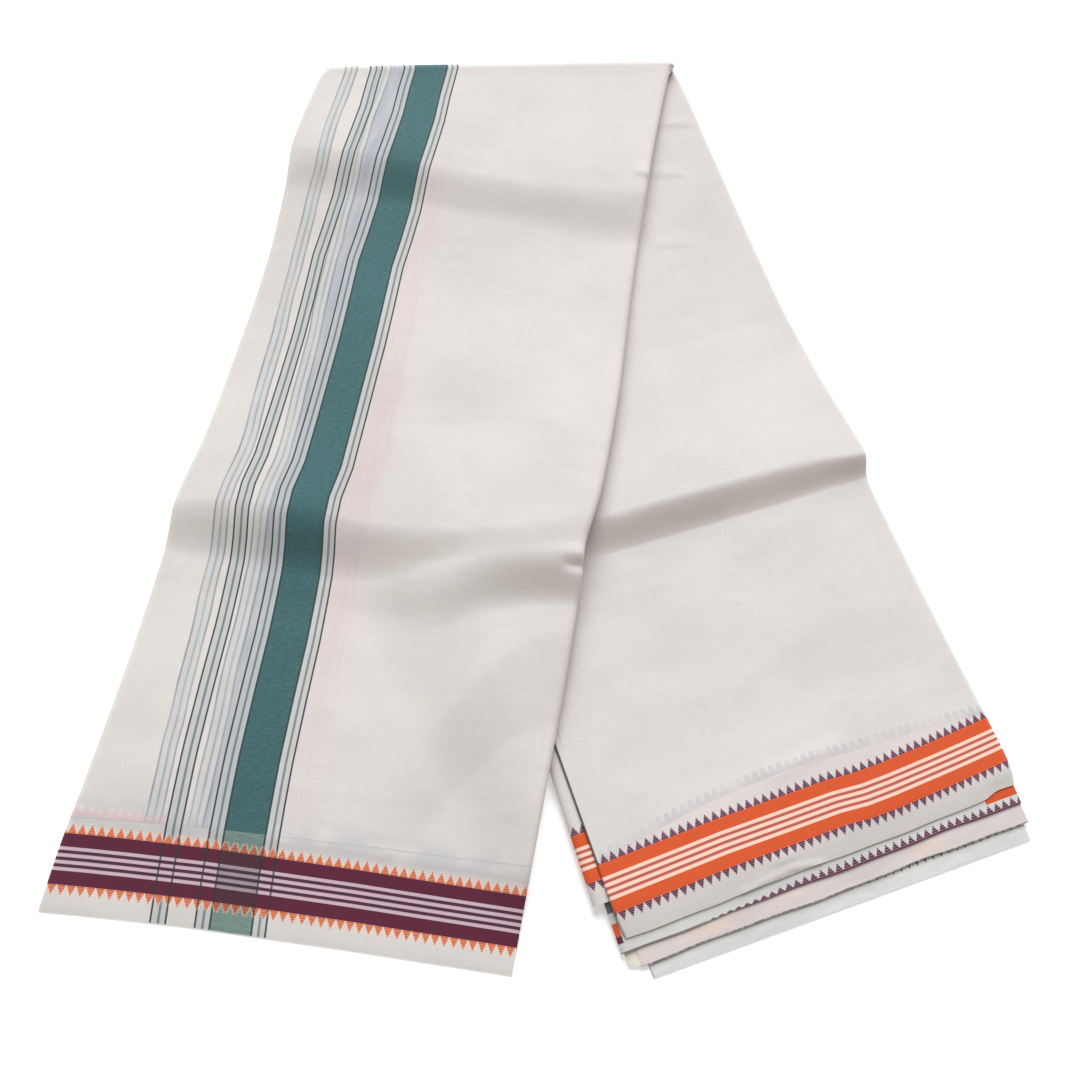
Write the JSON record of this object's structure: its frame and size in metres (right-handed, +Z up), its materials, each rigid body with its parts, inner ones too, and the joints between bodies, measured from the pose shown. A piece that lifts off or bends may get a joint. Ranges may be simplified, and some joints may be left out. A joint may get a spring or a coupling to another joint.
{
  "type": "dhoti cloth",
  "caption": "White cotton dhoti cloth with woven teeth borders and green end stripes, folded into a strip and bent once over itself, to lie flat on a surface.",
  "frame": {"origin": "middle of the footprint, on the surface that the cloth lies on", "axes": "+Z up from the surface, +Y towards the bend at the top of the two legs, +X to the right along the bend, with the front leg on the -X side"},
  "size_m": [0.5448, 0.6332, 0.0264],
  "materials": {
    "cloth_face": "fine plain-weave undyed cotton, with maroon, orange and green woven stripes",
    "cloth_reverse": "reverse of the same cotton, with an orange woven border and maroon teeth",
    "cloth_inner": "folded layers of the same cotton"
  },
  "bodies": {
    "root": {"front_sheet": "cloth_face", "front_inner_layers": "cloth_inner", "back_sheet": "cloth_reverse", "back_left_layer": "cloth_reverse", "back_second_layer": "cloth_reverse", "back_third_layer": "cloth_reverse", "back_inner_layers": "cloth_inner", "back_lowest_layers": "cloth_inner"}
  },
  "joints": []
}
